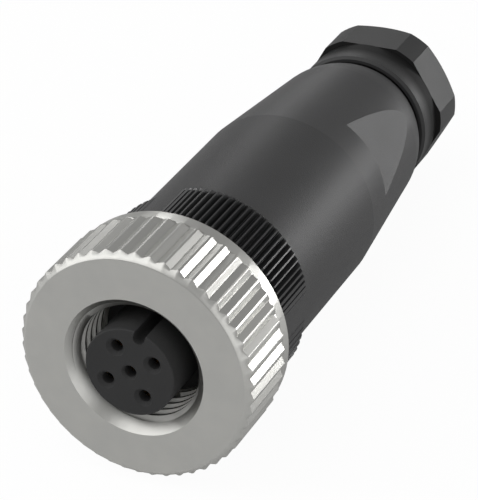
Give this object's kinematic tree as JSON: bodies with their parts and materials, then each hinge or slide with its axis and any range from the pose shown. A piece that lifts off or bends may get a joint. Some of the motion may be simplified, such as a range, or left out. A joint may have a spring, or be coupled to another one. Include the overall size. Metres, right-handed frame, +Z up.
{
  "type": "m12 cable connector",
  "caption": "Straight round cable connector with a knurled coupling nut, coded socket insert, ribbed shell and hexagonal cable clamp.",
  "frame": {"origin": "centre of the mouth of the coupling thread, on the connector's axis", "axes": "the axis lies along Y: -Y points out of the mating face and +Y to the cable end; +Z is up, 15 degrees from the coding groove"},
  "size_m": [0.0216, 0.059, 0.0216],
  "materials": {
    "nickel": "nickel plated, satin",
    "insert_plastic": "matte moulded, near black",
    "shell_plastic": "fine satin grain, charcoal",
    "black_plastic": "smooth black moulding",
    "grey_plastic": "plain moulded, dark grey",
    "rubber": "plain black rubber",
    "gold_contact": "turned and gold plated",
    "screw_steel": "zinc plated steel"
  },
  "bodies": {
    "housing": {"shell": "shell_plastic", "cable_seal": "rubber", "thrust_ring": "grey_plastic"},
    "inner": {"contact_insert": "insert_plastic", "terminal_block": "grey_plastic", "housing_seal": "rubber", "socket_contact_1": "gold_contact", "socket_contact_2": "gold_contact", "socket_contact_3": "gold_contact", "socket_contact_4": "gold_contact", "socket_contact_5": "gold_contact"},
    "nut": {"coupling_nut": "nickel"},
    "clamp_carriage": {"clamp_cage": "grey_plastic"},
    "clamp_screw": {"clamp_nut": "black_plastic"},
    "screw_1": {"terminal_screw_1": "screw_steel"},
    "screw_2": {"terminal_screw_2": "screw_steel"},
    "screw_3": {"terminal_screw_3": "screw_steel"},
    "screw_4": {"terminal_screw_4": "screw_steel"},
    "screw_5": {"terminal_screw_5": "screw_steel"}
  },
  "joints": [
    {"name": "inner_withdraw", "type": "slide", "parent": "housing", "child": "inner", "axis": [0, -1, 0], "range_m": [0, 0.02]},
    {"name": "nut_spin", "type": "hinge", "parent": "inner", "child": "nut", "pos_m": [0, 0.00326, 0], "axis": [0, 1, 0], "continuous": true},
    {"name": "clamp_travel", "type": "slide", "parent": "housing", "child": "clamp_carriage", "axis": [0, 1, 0], "range_m": [0, 0.0075]},
    {"name": "clamp_turn", "type": "hinge", "parent": "clamp_carriage", "child": "clamp_screw", "pos_m": [0, 0.05296, 0], "axis": [0, 1, 0], "range_deg": [0, 1800]},
    {"name": "terminal_1_turn", "type": "hinge", "parent": "inner", "child": "screw_1", "pos_m": [0.00502, 0.01596, 0.0029], "axis": [0.866, 0, 0.5], "range_deg": [0, 720]},
    {"name": "terminal_2_turn", "type": "hinge", "parent": "inner", "child": "screw_2", "pos_m": [-0.0029, 0.01596, 0.00502], "axis": [-0.5, 0, 0.866], "range_deg": [0, 720]},
    {"name": "terminal_3_turn", "type": "hinge", "parent": "inner", "child": "screw_3", "pos_m": [-0.00502, 0.01596, -0.0029], "axis": [-0.866, 0, -0.5], "range_deg": [0, 720]},
    {"name": "terminal_4_turn", "type": "hinge", "parent": "inner", "child": "screw_4", "pos_m": [0.0029, 0.01596, -0.00502], "axis": [0.5, 0, -0.866], "range_deg": [0, 720]},
    {"name": "terminal_5_turn", "type": "hinge", "parent": "inner", "child": "screw_5", "pos_m": [-0.0015, 0.02196, -0.0056], "axis": [-0.2588, 0, -0.9659], "range_deg": [0, 720]}
  ],
  "couplings": [
    {"joint": "clamp_turn", "follows": "clamp_travel", "rad_per_m": 4188.8}
  ]
}
